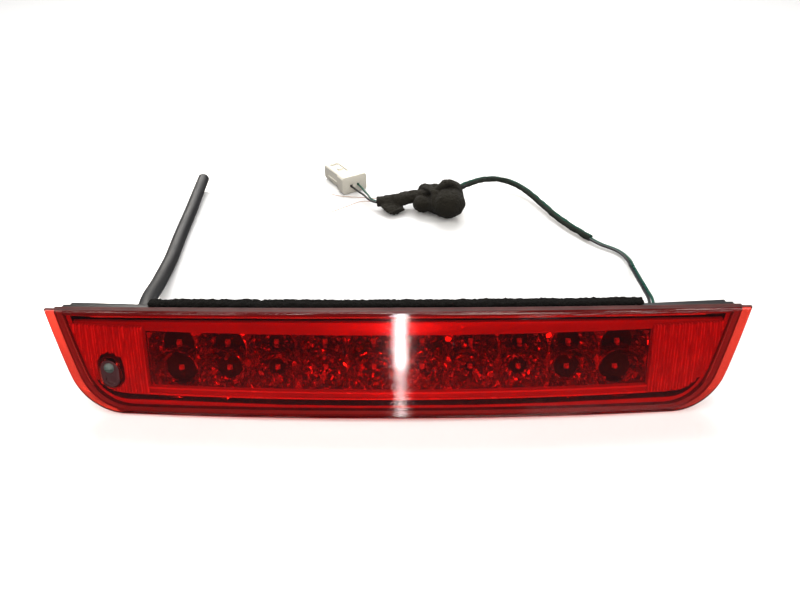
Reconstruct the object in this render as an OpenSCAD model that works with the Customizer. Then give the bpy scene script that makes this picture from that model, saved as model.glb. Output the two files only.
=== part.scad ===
// High-mounted brake light with an LED reflector, a washer nozzle and its loom.
// Millimetres. +X runs along the lamp, the lens faces -Y, +Z is up.
// The origin is under the middle of the lamp, on the surface that it stands on.

/* [Lens] */
// Width of the lens across its upper tips
lens_w = 340; // [336:1:346]
// Height of the lens at its middle
lens_h = 52.5; // [51:0.5:54]
// How far the top of the face leans back behind its bottom edge
lean = 19; // [18:0.5:20]
// How far the ends of the face fall back behind its middle
fall_back = 9; // [8:0.5:10]
// Outward swell of the face at mid height
swell = 1.2; // [0.8:0.1:1.4]
// Drop of the upper edge from the middle to the tips
crown = 3.6; // [3.2:0.1:4]
// Thickness of the lens skin
lens_t = 2.4; // [2.2:0.1:2.5]
// Depth of the welded foot behind the face
foot_d = 4.5; // [4.3:0.1:4.8]

/* [Housing] */
// Distance from the lower front edge to the mounting face
back_y = 42; // [41:0.5:44]
// Distance from the lower front edge to the tip of the hose barb
depth = 58; // [56:0.5:60]
// Housing wall thickness
wall = 2; // [1.8:0.1:2.2]
// Height of the ribs and bosses on the back
rib_h = 2; // [1.5:0.5:2]

/* [Optics] */
// Columns of light cells
cell_columns = 10; // [10:1:10]
// Distance between the columns
cell_pitch = 24.4; // [24:0.1:24.6]
// Distance between the two rows of cells
row_pitch = 13.5; // [13:0.1:14]
// Distance between the upright flutes at the ends
flute_pitch = 3.1; // [2.9:0.1:3.3]

/* [Fixings] */
// Distance between the two mounting studs
stud_spacing = 190; // [180:2:196]
// Stud radius, M6 thread
stud_r = 3; // [2.5:0.5:3]
// Length of the studs behind the mounting face
stud_l = 14; // [10:1:15]
// Distance between the two locating pins
pin_spacing = 36; // [30:2:40]
// Locating pin radius
pin_r = 3; // [2.5:0.5:3]

/* [Washer] */
// Radius of the jet ball
ball_r = 2.8; // [2.6:0.1:2.8]
// Running clearance round the jet ball
ball_gap = 0.05; // [0.03:0.01:0.08]
// Outer radius of the washer hose
hose_r = 4.5; // [4:0.25:4.5]

/* [Loom] */
// Outer radius of each wire
wire_r = 0.85; // [0.7:0.05:0.85]
// Radius of the fleece tape over the wires
tape_r = 2.7; // [2.4:0.1:3]
// Turn of the plug about the upright axis
plug_turn = 33; // [33:1:33]

/* [Hidden] */

half_w = lens_w / 2;
plan_r = (half_w * half_w + fall_back * fall_back) / (2 * fall_back);
half_angle = asin(half_w / plan_r) + 0.7;
rake = atan(lean / lens_h);
bead_t = 0.5;
flange_t = 2.4;
wall_y = back_y - rib_h;          // outer face of the back wall, between its ribs
side_slope = 0.3;
bottom_arch = 1.2;                // the lower edge rises this much at its middle
arc_steps = 16;
corner_steps = 6;
face_steps = 8;

// Face of the lens at its middle, and how far it falls back at x
function face_y(z) = lean * z / lens_h - swell * (1 - pow(2 * z / lens_h - 1, 2));
function fall(x) = plan_r - sqrt(plan_r * plan_r - x * x);
function drop(x) = crown * pow(x / half_w, 2);
front_y = -(face_y(bottom_arch) + depth) / 2;

// Outline seen from the front: crowned top, sloping sides, round lower corners
function outline(w, top, low, corner, arch) =
    let (edge_top = top - drop(w), lean_a = atan(side_slope), cz = low + corner,
         cx = w - side_slope * (edge_top - cz) - corner / cos(lean_a), turn = 90 - lean_a)
    concat(
        [for (i = [0:arc_steps]) let (x = -w + 2 * w * i / arc_steps) [x, top - drop(x)]],
        [for (i = [0:corner_steps]) let (a = -lean_a - turn * i / corner_steps)
            [cx + corner * cos(a), cz + corner * sin(a)]],
        [for (i = [1:arc_steps - 1]) let (x = cx - 2 * cx * i / arc_steps)
            [x, low + arch * (1 - pow(x / cx, 2))]],
        [for (i = [0:corner_steps]) let (a = -90 - turn * i / corner_steps)
            [-cx + corner * cos(a), cz + corner * sin(a)]]);

lens_edge = outline(half_w, lens_h, 0, 26, bottom_arch);
foot_edge = outline(half_w - 6, lens_h - 0.4, 0.4, 24, bottom_arch);
foot_inner = outline(half_w - 8.6, lens_h - 3, 3, 21.5, bottom_arch);
flange_edge = outline(half_w - 6.8, lens_h - 1.2, 0.9, 23, bottom_arch);
tray_edge = outline(half_w - 9, lens_h - 2.5, 3, 18, 0);
tray_inner = outline(half_w - 9 - wall * 1.1, lens_h - 2.5 - wall, 3 + wall, 16, 0);

// Everything of the lamp is drawn from its lower front edge, then centred
module lamp() translate([0, front_y, 0]) children();

// Upright prism through the lamp between two depths
module prism(points, y0, y1)
    translate([0, y1, 0]) rotate([90, 0, 0]) linear_extrude(y1 - y0) polygon(points);

// Layer that follows the face of the lens between two depths behind it
module layer(d0, d1) {
    low = -2;
    high = lens_h + 4;
    steps = [for (i = [0:face_steps]) low + (high - low) * i / face_steps];
    translate([0, plan_r, 0]) rotate([0, 0, -90 - half_angle])
        rotate_extrude(angle = 2 * half_angle, $fn = 720)
            polygon(concat([for (z = steps) [plan_r - face_y(z) - d0, z]],
                           [for (i = [face_steps:-1:0]) [plan_r - face_y(steps[i]) - d1, steps[i]]]));
}

// Everything under the top of the tray, which slopes down from just behind the lens
module under_slope(drop_by) {
    start_y = 24.8;
    start_z = 50 - drop_by;
    reach = back_y + 12;
    translate([0, plan_r, 0]) rotate([0, 0, -90 - half_angle])
        rotate_extrude(angle = 2 * half_angle, $fn = 720)
            polygon([[plan_r + 20, -5], [plan_r + 20, start_z], [plan_r - start_y, start_z],
                     [plan_r - reach, start_z - (reach - start_y)], [plan_r - reach, -5]]);
}

module ring_layer(outer, inner, d0, d1) intersection() {
    layer(d0, d1);
    difference() {
        prism(outer, -5, back_y);
        prism(inner, -6, back_y + 1);
    }
}

// Rod along +Y from y0 to y1
module rod(x, z, r, y0, y1, fn = 48)
    translate([x, y0, z]) rotate([-90, 0, 0]) cylinder(r = r, h = y1 - y0, $fn = fn);

// Two rods side by side and the bar between them, upright
module slot_rod(x, z, r, reach, y0, y1) {
    rod(x, z + reach, r, y0, y1);
    rod(x, z - reach, r, y0, y1);
    translate([x - r, y0, z - reach]) cube([2 * r, y1 - y0, 2 * reach]);
}

// Frame of the leaning optics: local Y goes in, local Z goes up the lean
module raked() rotate([-rake, 0, 0]) children();

/* Lens and housing */
nozzle_x = -140.3;
nozzle_z = 20.5;
nozzle_reach = 1.8;
nozzle_front = face_y(nozzle_z) + fall(nozzle_x);
ball_z = nozzle_z + 2.4;
ball_y = face_y(ball_z) + fall(nozzle_x) + 1.6;
stem_r = 5;
stem_end = back_y + 4;
lens_hole_r = 5;
shoulder_r = 5.7;
grommet_x = 134;
grommet_z = 29;
vent_x = 75;
vent_z = 16.5;
stud_z = 24;
stud_root_r = stud_r + 0.8;       // plain shoulder between the boss and the thread
stud_root_l = 3.4;
pin_z = 25;
flange_d = foot_d + bead_t;

module lens() color([0.8, 0.04, 0.05, 0.85]) lamp() difference() {
    union() {
        intersection() {
            layer(0, lens_t);
            prism(lens_edge, -5, back_y);
        }
        ring_layer(foot_edge, foot_inner, lens_t / 2, foot_d);
    }
    slot_rod(nozzle_x, nozzle_z, lens_hole_r, nozzle_reach, -5, back_y);
}

module weld_bead() color([0.25, 0.03, 0.04]) lamp()
    ring_layer(outline(half_w - 7.3, lens_h - 1.8, 1.5, 22.6, bottom_arch),
               outline(half_w - 8.4, lens_h - 2.8, 2.6, 21.6, bottom_arch), foot_d, flange_d);

module back_ribs() {
    rib_w = 1.6;
    for (x = [-120:30:120])
        translate([x - rib_w / 2, wall_y - 0.5, 8]) cube([rib_w, rib_h + 0.5, 25]);
    for (z = [8, 31.4])
        translate([-126, wall_y - 0.5, z]) cube([252, rib_h + 0.5, rib_w]);
}

module housing() color([0.09, 0.09, 0.1]) lamp() difference() {
    union() {
        ring_layer(flange_edge, tray_inner, flange_d, flange_d + flange_t);
        difference() {
            intersection() {
                prism(tray_edge, 0, wall_y);
                under_slope(0);
            }
            layer(-40, flange_d + 0.4);
            intersection() {
                prism(tray_inner, -1, wall_y - wall);
                under_slope(wall * 1.4);
            }
        }
        back_ribs();
        for (side = [-1, 1]) {
            rod(side * stud_spacing / 2, stud_z, 9, wall_y - wall - 4, back_y);
            rod(side * pin_spacing / 2, pin_z, 6, wall_y - 0.5, back_y);
            rod(side * pin_spacing / 2, pin_z, pin_r, back_y - 1, back_y + 8);
        }
        rod(nozzle_x, nozzle_z, 6.4, nozzle_front + 9.5, wall_y);
        rod(vent_x, vent_z, 4, wall_y - 1, back_y);
        intersection() {
            prism(tray_edge, 0, wall_y - 0.5);
            raked() for (x = [-98, -49, 0, 49, 98])
                rod(x, 29, 3, board_back, board_back + 30);
        }
    }
    for (side = [-1, 1]) {
        rod(side * stud_spacing / 2, stud_z, stud_root_r, wall_y - wall - 5, back_y + 1);
        rod(side * stud_spacing / 2, stud_z, 5.5, wall_y - wall - 5, wall_y - wall, 6);
    }
    rod(nozzle_x, nozzle_z, stem_r + 0.4, 0, back_y + 1);
    rod(grommet_x, grommet_z, 4.5, wall_y - wall - 1, wall_y + 1);
    rod(vent_x, vent_z, 1.5, wall_y - wall - 1, back_y + 1);
}

module bezel() color([0.35, 0.1, 0.12]) lamp() difference() {
    ring_layer(outline(half_w - 12.5, 45, 8, 14, 0),
               [[-block_w - 0.3, 11.9], [block_w + 0.3, 11.9],
                [block_w + 0.3, 39.2], [-block_w - 0.3, 39.2]], 5.2, 7);
    slot_rod(nozzle_x, nozzle_z, 6.9, nozzle_reach, 0, back_y);
}

/* Light cells */
block_w = cell_columns * cell_pitch / 2;
board_front = 19.2;               // measured square to the leaning face
board_t = 1.6;
board_back = board_front + board_t;
cell_mid = 28.6;
block_low = cell_mid - row_pitch - 0.4;
block_high = cell_mid + row_pitch + 1.4;
board_screw_x = [-85.4, -36.6, 36.6, 85.4];

function cell_x(i) = (i - (cell_columns - 1) / 2) * cell_pitch;
function cell_z(row) = cell_mid + (row - 0.5) * row_pitch;

module at_cells() raked()
    for (i = [0:cell_columns - 1], row = [0, 1])
        translate([cell_x(i), 0, cell_z(row)]) children();

module reflector() color([0.8, 0.8, 0.83]) lamp() difference() {
    intersection() {
        layer(7.2, 60);
        raked() translate([-block_w, -5, block_low])
            cube([2 * block_w, board_front + 5, block_high - block_low]);
    }
    at_cells() translate([0, 4, 0]) rotate([-90, 0, 0])
        cylinder(r1 = 12.6, r2 = 4.9, h = board_front - 4 + 0.2, $fn = 48);
    raked() for (x = board_screw_x) rod(x, cell_mid, 0.9, board_front - 7, board_front + 1, 24);
}

// Plate with upright flutes that fills one end of the lens
module flutes(side) {
    low = 10;
    high = 41.5;
    inner = block_w + 0.6;
    edge = [[inner, low], [inner + 16, low], [inner + 21, low + 2], [inner + 25.5, low + 5.5],
            [inner + 28.5, low + 11], [half_w - 11.4, high], [inner, high]];
    count = floor((half_w - 12 - inner) / flute_pitch);
    lamp() difference() {
        intersection() {
            union() {
                layer(lens_t + 1.1, foot_d - 0.1);
                for (i = [0:count])
                    intersection() {
                        layer(lens_t + 0.3, lens_t + 1.5);
                        translate([side * (inner + (i + 0.25) * flute_pitch), 0, low - 1])
                            translate([-flute_pitch / 4, 0, 0])
                                cube([flute_pitch / 2, back_y, high - low + 2]);
                    }
            }
            prism([for (p = edge) [side * p[0], p[1]]], 0, back_y);
        }
        slot_rod(nozzle_x, nozzle_z, 6.9, nozzle_reach, 0, back_y);
    }
}
module flutes_left() color([0.85, 0.3, 0.3]) flutes(-1);
module flutes_right() color([0.85, 0.3, 0.3]) flutes(1);

module circuit_board() color([0.1, 0.35, 0.18]) lamp() raked() difference() {
    translate([-block_w + 0.5, board_front, block_low + 1])
        cube([2 * block_w - 1, board_t, block_high - block_low - 2]);
    for (x = board_screw_x) rod(x, cell_mid, 1.3, board_front - 1, board_back + 1, 24);
}

module leds() color([0.95, 0.9, 0.85]) lamp() at_cells() {
    translate([-3.2, board_front - 2, -3.2]) cube([6.4, 2, 6.4]);
    intersection() {
        translate([0, board_front - 2, 0]) sphere(r = 2.4, $fn = 32);
        translate([-3, board_front - 5, -3]) cube([6, 3.5, 6]);
    }
}

module led_resistors() color([0.12, 0.12, 0.12]) lamp() raked()
    for (i = [0:cell_columns - 2])
        translate([cell_x(i) + cell_pitch / 2 - 1.6, board_back, cell_mid + 5.2])
            cube([3.2, 0.7, 1.6]);

module led_diode() color([0.15, 0.15, 0.16]) lamp() raked()
    translate([block_w - 14, board_back, cell_mid + 2]) cube([4.5, 2.2, 2.8]);

module board_screws() color([0.75, 0.76, 0.78]) lamp() raked()
    for (x = board_screw_x) {
        rod(x, cell_mid, 0.88, board_front - 6, board_back + 0.5, 24);
        difference() {
            rod(x, cell_mid, 2.2, board_back, board_back + 1.4, 24);
            translate([x - 1.6, board_back + 0.7, cell_mid - 0.25]) cube([3.2, 1, 0.5]);
            translate([x - 0.25, board_back + 0.7, cell_mid - 1.6]) cube([0.5, 1, 3.2]);
        }
    }

terminal_x = [block_w - 8.5, block_w - 5];
module board_terminals() color([0.8, 0.7, 0.4]) lamp() raked()
    for (x = terminal_x) {
        rod(x, cell_mid - 4, 1.3, board_back, board_back + 1, 24);
        rod(x, cell_mid - 4, 0.5, board_back + 0.9, board_back + 3, 16);
    }

/* Round tubes swept along a list of points */
function unit(v) = v / norm(v);
function flat_side(t) = unit([t[1], -t[0], 0]);
function tangent(p, i) = unit(p[min(i + 1, len(p) - 1)] - p[max(i - 1, 0)]);
function ring(c, t, r, sides) =
    let (u = flat_side(t), v = cross(u, t))
    [for (k = [0:sides - 1]) let (a = 360 * k / sides) c + r * (cos(a) * u + sin(a) * v)];

module tube(p, r, sides) {
    n = len(p);
    points = [for (i = [0:n - 1]) each ring(p[i], tangent(p, i), r, sides)];
    walls = [for (i = [0:n - 2], k = [0:sides - 1])
        let (j = (k + 1) % sides, low = i * sides, up = low + sides)
        each [[low + k, up + k, up + j], [low + k, up + j, low + j]]];
    near_cap = [[for (k = [0:sides - 1]) k]];
    far_cap = [[for (k = [sides - 1:-1:0]) (n - 1) * sides + k]];
    polyhedron(points = points, faces = concat(near_cap, walls, far_cap));
}

function unraked(x, y, z) = [x, y * cos(rake) + z * sin(rake), z * cos(rake) - y * sin(rake)];

module inner_leads() color([0.05, 0.35, 0.25]) lamp()
    for (i = [0, 1]) {
        tip = unraked(terminal_x[i], board_back + 2, cell_mid - 4);
        hole = [grommet_x - 1 + 2 * i, wall_y - wall - 1.5, grommet_z];
        rise = 2 - 4 * i;             // one wire passes over the other
        tube([tip, tip + [1, 2, 1 + rise], (tip + hole) / 2 + [0, 0, rise], hole - [4, 2.6, 1.6 - rise],
              hole - [0.75 - 0.5 * i, 1.4, 0.5 + 0.5 * i], hole], wire_r, 8);
    }

module wire_grommet() color([0.06, 0.06, 0.06]) lamp() difference() {
    union() {
        rod(grommet_x, grommet_z, 6, wall_y - wall - 1.5, wall_y - wall);
        rod(grommet_x, grommet_z, 4.5, wall_y - wall, wall_y);
        rod(grommet_x, grommet_z, 6.1, wall_y, wall_y + 1.6);
        translate([grommet_x, wall_y + 1.6, grommet_z]) rotate([-90, 0, 0])
            cylinder(r1 = 4.4, r2 = 2.4, h = 6.4, $fn = 48);
    }
    for (side = [-1, 1])
        rod(grommet_x + side, grommet_z, wire_r, wall_y - wall - 2, wall_y + 9, 24);
}

/* Foam strips */
top_foam_x = [-120, 118];
module top_foam() color([0.05, 0.05, 0.05]) lamp() {
    steps = [for (i = [0:arc_steps]) top_foam_x[0] + (top_foam_x[1] - top_foam_x[0]) * i / arc_steps];
    low = lens_h - 1.15;
    high = lens_h + 1;
    intersection() {
        layer(flange_d + 0.1, flange_d + 4.4);
        prism(concat([for (x = steps) [x, high - drop(x)]],
                     [for (i = [arc_steps:-1:0]) [steps[i], low - drop(steps[i])]]), 10, wall_y + rib_h);
    }
}

module bottom_foam() color([0.05, 0.05, 0.05]) lamp()
    translate([-112, wall_y - 9, 0]) cube([224, 8, 3]);

/* Fixings on the back */
module mounting_studs() color([0.72, 0.68, 0.5]) lamp()
    for (side = [-1, 1]) {
        rod(side * stud_spacing / 2, stud_z, 5.4, wall_y - wall - 3, wall_y - wall, 6);
        rod(side * stud_spacing / 2, stud_z, stud_r, back_y + 3, back_y + stud_l);
        rod(side * stud_spacing / 2, stud_z, stud_root_r, wall_y - wall - 0.5, back_y + stud_root_l);
    }

module stud_foams() color([0.05, 0.05, 0.05]) lamp()
    for (side = [-1, 1]) difference() {
        rod(side * stud_spacing / 2, stud_z, 8.5, back_y, back_y + 3);
        rod(side * stud_spacing / 2, stud_z, stud_root_r + 0.3, back_y - 1, back_y + 4);
    }

module vent_cap() color([0.07, 0.07, 0.07]) lamp() difference() {
    rod(vent_x, vent_z, 6, wall_y + 0.2, back_y + 3);
    rod(vent_x, vent_z, 4.05, wall_y, back_y + 0.05);
}

/* Washer nozzle */
module ball_socket() translate([nozzle_x, ball_y, ball_z]) sphere(r = ball_r + ball_gap, $fn = 64);

module nozzle_body() color([0.2, 0.05, 0.06]) lamp() difference() {
    union() {
        intersection() {
            layer(0.3, lens_t + 1.5);
            slot_rod(nozzle_x, nozzle_z, lens_hole_r - 0.4, nozzle_reach, 0, back_y);
        }
        intersection() {
            layer(lens_t + 1.4, foot_d + 0.3);
            slot_rod(nozzle_x, nozzle_z, shoulder_r, nozzle_reach, 0, back_y);
        }
        intersection() {
            layer(lens_t + 1.5, 60);
            rod(nozzle_x, nozzle_z, stem_r, 0, stem_end);
        }
        rod(nozzle_x, nozzle_z, 2.6, stem_end - 1, depth);
        for (y = [stem_end + 2.5, stem_end + 6.5])
            translate([nozzle_x, y, nozzle_z]) rotate([-90, 0, 0])
                cylinder(r1 = 3.3, r2 = 2.6, h = 3, $fn = 48);
    }
    ball_socket();
    rod(nozzle_x, nozzle_z, 1.3, ball_y + 1, depth + 1, 24);
    intersection() {
        layer(-1, 1.6);
        rod(nozzle_x, nozzle_z - 3, 2.6, 0, back_y);
    }
}

module jet_ball() color([0.45, 0.5, 0.46]) lamp() difference() {
    translate([nozzle_x, ball_y, ball_z]) sphere(r = ball_r, $fn = 64);
    translate([nozzle_x - 1.8, ball_y - 4, ball_z - 0.35]) cube([3.6, 2.6, 0.7]);
    rod(nozzle_x, ball_z, 0.5, ball_y - 2, ball_y + 4, 24);
}

module nozzle_seal() color([0.04, 0.04, 0.04]) lamp() intersection() {
    layer(lens_t + 0.05, lens_t + 1.35);
    difference() {
        slot_rod(nozzle_x, nozzle_z, shoulder_r, nozzle_reach, 0, back_y);
        slot_rod(nozzle_x, nozzle_z, lens_hole_r - 0.35, nozzle_reach, -1, back_y + 1);
    }
}

module nozzle_nut() color([0.1, 0.1, 0.1]) lamp() difference() {
    rod(nozzle_x, nozzle_z, 8.6, wall_y, wall_y + 4.5, 6);
    rod(nozzle_x, nozzle_z, stem_r, wall_y - 1, wall_y + 6);
}

// Route of the washer hose from the nozzle to its open end
hose_route = [[-140.3, 17.9, 20.5], [-140.3, 30, 20.5], [-143.2, 42, 18.8], [-147.4, 58, 14.7],
              [-151, 78, 9.6], [-154, 98, 6.2], [-155.7, 116, 4.8], [-157.4, 132, 4.6],
              [-159.3, 150, 4.6], [-161.2, 170, 4.7], [-163, 192, 5], [-165, 214, 5.8],
              [-166.4, 233, 6.9], [-167.3, 247, 7.8]];
module washer_hose() color([0.07, 0.07, 0.07]) tube(hose_route, hose_r, 12);

module hose_clip() color([0.7, 0.7, 0.72]) translate([nozzle_x, 0, nozzle_z]) {
    difference() {
        rod(0, 0, hose_r + 0.8, 21, 27);
        rod(0, 0, hose_r + 0.05, 20, 28);
    }
    for (side = [-1, 1])
        translate([side * 1.6 - 0.4, 21.5, hose_r + 0.4]) cube([0.8, 5, 4]);
}

/* Wires and their wrappings */
// Middle of the pair of wires, with half the distance between them
lead_route = [[134, 15, 29, 1], [134.5, 20, 29, 1], [139, 35, 27, 1], [143.7, 53, 21, 1],
              [149.6, 77, 13, 1], [154.8, 103, 6, 1], [157.4, 121, 2.4, 1], [154.6, 131, 1.8, 1],
              [144, 141, 2.2, 1], [133, 158, 3.1, 1], [123, 177, 3.6, 1], [115, 199, 4.2, 1],
              [107, 219, 5.5, 1], [98, 232.5, 7, 1], [86, 237.5, 9.2, 1], [72, 230, 13, 1],
              [58, 214, 17, 1], [46, 200, 18.5, 1], [33, 196, 14, 1], [18, 205, 9, 1],
              [-1, 202, 7, 1], [-18, 202, 6.5, 1], [-28, 218, 6.1, 1.8], [-35.5, 232, 6, 3.2],
              [-39.7, 239.2, 6, 3.2]];
lead_mid = [for (p = lead_route) [p[0], p[1], p[2]]];
function beside(side) =
    [for (i = [0:len(lead_route) - 1]) lead_mid[i] + side * lead_route[i][3] * flat_side(tangent(lead_mid, i))];

module green_wire() color([0.02, 0.3, 0.2]) tube(beside(1), wire_r, 8);
module black_wire() color([0.05, 0.05, 0.05]) tube(beside(-1), wire_r, 8);

tape_span = [9, 17];
module wire_tape() color([0.1, 0.08, 0.07])
    tube([for (i = [tape_span[0]:tape_span[1]]) lead_mid[i]], tape_r, 10);

// Ball of each lobe of the knotted foam wrap: place and radius
module lobe(x, y, z, r) translate([x, y, z]) sphere(r = r, $fn = 24);
module foam_wrap() color([0.12, 0.11, 0.09]) {
    hull() {
        lobe(38, 183, 12.4, 12);
        lobe(39, 197, 15, 12);
        lobe(32, 190, 12, 11);
    }
    hull() {
        lobe(22, 212, 10.5, 8);
        lobe(28, 201, 12, 8);
    }
    hull() {
        lobe(18, 193, 8.4, 8);
        lobe(30, 190, 9, 8);
    }
    hull() {
        lobe(17, 204, 9, 7);
        lobe(-1, 202, 7, 6);
    }
    hull() {
        lobe(-1, 202, 7, 6);
        lobe(-14, 202, 6.5, 5);
    }
    hull() {
        lobe(-2, 199, 6, 5);
        lobe(2, 189, 4, 3.5);
    }
}

strand_far_route = [[-6, 208, 2.6], [-12, 216, 1.2], [-22, 221, 0.6], [-36, 223, 0.6],
                    [-50, 226, 0.6], [-66, 235, 0.8], [-82, 244, 1.2], [-96, 256, 2.2]];
strand_near_route = [[-12, 204, 2.4], [-20, 213, 0.9], [-30, 215, 0.6], [-42, 206, 0.6],
                     [-54, 196, 0.6], [-66, 187.5, 0.8], [-72, 190.5, 0.7], [-78, 203, 0.9],
                     [-83, 215, 1.6]];
strand_r = 0.2;
module copper_strand_far() color([0.8, 0.45, 0.3]) tube(strand_far_route, strand_r, 8);
module copper_strand_near() color([0.8, 0.45, 0.3]) tube(strand_near_route, strand_r, 8);

/* Plug: local Y runs from the wires to the mating end */
plug_pos = [-37, 235, 0];
plug_l = 40;
body_w = 16;
body_h = 12;
collar_l = 10;
cavity_x = 3.2;
cavity_z = 6;
arm_pivot_y = 35;
arm_pivot_z = 10.4;
arm_w = 6.8;
lock_z = 2.4;

module at_plug() translate(plug_pos) rotate([0, 0, plug_turn]) children();

// Long block with chamfered edges, from y0 to y1
module chamfered(w, low, high, y0, y1, c)
    translate([0, y1, 0]) rotate([90, 0, 0]) linear_extrude(y1 - y0)
        polygon([[-w / 2 + c, low], [w / 2 - c, low], [w / 2, low + c], [w / 2, high - c],
                 [w / 2 - c, high], [-w / 2 + c, high], [-w / 2, high - c], [-w / 2, low + c]]);

module plug_housing() color([0.93, 0.92, 0.86]) at_plug() difference() {
    union() {
        chamfered(body_w, 0, body_h, collar_l - 1, plug_l, 0.8);
        chamfered(23, 0, 14.5, 0, collar_l, 1.4);
        for (side = [-1, 1])
            translate([side * body_w / 2 - 0.8, collar_l - 1, 3]) cube([1.6, plug_l - collar_l - 6, 2]);
    }
    for (side = [-1, 1]) {
        translate([side * cavity_x - 1.3, -1, cavity_z - 1.3]) cube([2.6, plug_l + 2, 2.6]);
        translate([side * 2.4 - 0.5, plug_l - 3.6, body_h - 0.8]) cube([1, 2.2, 2]);
    }
    translate([-4.2, collar_l + 1.5, 8.4]) cube([8.4, arm_pivot_y - collar_l + 0.5, 8]);
    translate([0, arm_pivot_y, arm_pivot_z]) rotate([0, 90, 0]) cylinder(r = 1.05, h = 10.6, center = true, $fn = 32);
    translate([-body_w / 2 - 2, 18, lock_z - 0.9]) cube([7.6, 7.2, 1.8]);
}

module lock_arm() color([0.95, 0.94, 0.88]) at_plug() {
    rotate_pin = [0, 90, 0];
    translate([0, arm_pivot_y, arm_pivot_z]) rotate(rotate_pin) cylinder(r = 1, h = 10.4, center = true, $fn = 32);
    translate([-arm_w / 2, collar_l + 3, 10]) cube([arm_w, arm_pivot_y - collar_l - 3, 1.3]);
    translate([-arm_w / 2, collar_l + 3, 10]) cube([arm_w, 3.5, 2.6]);
    translate([-arm_w / 2 + 1, 24, 11]) cube([arm_w - 2, 3, 1.6]);
}

module terminal_lock() color([0.9, 0.88, 0.8]) at_plug()
    translate([-body_w / 2 - 0.2, 18.1, lock_z - 0.8]) cube([5.6, 7, 1.6]);

module plug_terminals() color([0.8, 0.72, 0.5]) at_plug()
    for (side = [-1, 1]) difference() {
        union() {
            translate([side * cavity_x - 1.2, 12, cavity_z - 1.2]) cube([2.4, 24, 2.4]);
            rod(side * cavity_x, cavity_z, 1.15, 3, 12.5, 24);
        }
        translate([side * cavity_x - 0.8, 14, cavity_z - 0.8]) cube([1.6, 23, 1.6]);
    }

lens();
housing();
weld_bead();
bezel();
reflector();
flutes_left();
flutes_right();
circuit_board();
leds();
led_resistors();
led_diode();
board_screws();
board_terminals();
inner_leads();
wire_grommet();
top_foam();
bottom_foam();
mounting_studs();
stud_foams();
vent_cap();
nozzle_body();
jet_ball();
nozzle_seal();
nozzle_nut();
washer_hose();
hose_clip();
green_wire();
black_wire();
wire_tape();
foam_wrap();
plug_housing();
lock_arm();
terminal_lock();
plug_terminals();
copper_strand_far();
copper_strand_near();
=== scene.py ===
import math
import random

import bpy
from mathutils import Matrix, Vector, noise


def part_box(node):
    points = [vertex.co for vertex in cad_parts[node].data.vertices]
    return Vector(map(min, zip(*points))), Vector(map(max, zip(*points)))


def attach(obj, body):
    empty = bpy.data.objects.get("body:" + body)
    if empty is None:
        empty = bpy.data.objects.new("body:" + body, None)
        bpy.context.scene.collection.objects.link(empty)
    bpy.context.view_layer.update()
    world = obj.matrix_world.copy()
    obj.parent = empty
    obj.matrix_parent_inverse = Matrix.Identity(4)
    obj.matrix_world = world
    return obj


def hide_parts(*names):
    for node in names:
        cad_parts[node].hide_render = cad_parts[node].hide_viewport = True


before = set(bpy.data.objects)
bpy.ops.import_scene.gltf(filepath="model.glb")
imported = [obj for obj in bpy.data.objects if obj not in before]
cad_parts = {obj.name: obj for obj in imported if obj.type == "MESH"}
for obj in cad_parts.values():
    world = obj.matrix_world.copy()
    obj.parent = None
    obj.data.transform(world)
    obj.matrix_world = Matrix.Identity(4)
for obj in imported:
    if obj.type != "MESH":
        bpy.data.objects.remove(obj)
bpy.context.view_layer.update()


def clearSelection():
    if bpy.context.object and bpy.context.object.mode != "OBJECT":
        bpy.ops.object.mode_set(mode="OBJECT")
    bpy.ops.object.select_all(action="DESELECT")


def selectOnly(piece):
    clearSelection()
    piece.select_set(True)
    bpy.context.view_layer.objects.active = piece


def applyModifier(piece, kind, **settings):
    selectOnly(piece)
    modifier = piece.modifiers.new(kind.title(), kind)
    for key, value in settings.items():
        setattr(modifier, key, value)
    bpy.ops.object.modifier_apply(modifier=modifier.name)


def smoothEdges(piece, degrees=35):
    selectOnly(piece)
    bpy.ops.object.shade_smooth_by_angle(angle=math.radians(degrees))


def placeInMesh(piece):
    selectOnly(piece)
    bpy.ops.object.transform_apply(location=True, rotation=True, scale=True)


def joinPieces(pieces, name):
    selectOnly(pieces[0])
    for piece in pieces[1:]:
        piece.select_set(True)
    if len(pieces) > 1:
        bpy.ops.object.join()
    joined = bpy.context.object
    joined.name = name
    joined.data.name = name
    return joined


def tidyNormals(piece, mergeDistance=0.00002):
    selectOnly(piece)
    bpy.ops.object.mode_set(mode="EDIT")
    bpy.ops.mesh.select_all(action="SELECT")
    bpy.ops.mesh.remove_doubles(threshold=mergeDistance)
    bpy.ops.mesh.normals_make_consistent(inside=False)
    bpy.ops.object.mode_set(mode="OBJECT")


def finishPiece(piece, material, body="lamp", replaces=()):
    piece.data.materials.clear()
    piece.data.materials.append(material)
    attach(piece, body)
    if replaces:
        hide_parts(*replaces)
    return piece


print("camera")
cameraSettings = {"place": (0.0021, -0.2362, 0.2176), "tilt": 55.0, "roll": 0.3, "lens": 27.1}
bpy.ops.object.camera_add(location=cameraSettings["place"],
                          rotation=(math.radians(cameraSettings["tilt"]), math.radians(cameraSettings["roll"]), 0))
camera = bpy.context.object
camera.name = "studioCamera"
camera.data.lens = cameraSettings["lens"]
camera.data.sensor_width = 36
camera.data.clip_start = 0.01
bpy.context.scene.camera = camera


print("materials")


def newMaterial(name, color, roughness=0.5, metallic=0.0, **sockets):
    material = bpy.data.materials.new(name)
    material.use_nodes = True
    nodes = material.node_tree.nodes
    shader = nodes["Principled BSDF"]
    shader.inputs["Base Color"].default_value = (*color, 1)
    shader.inputs["Roughness"].default_value = roughness
    shader.inputs["Metallic"].default_value = metallic
    for key, value in sockets.items():
        shader.inputs[key].default_value = value
    return material, nodes, material.node_tree.links, shader


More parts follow.
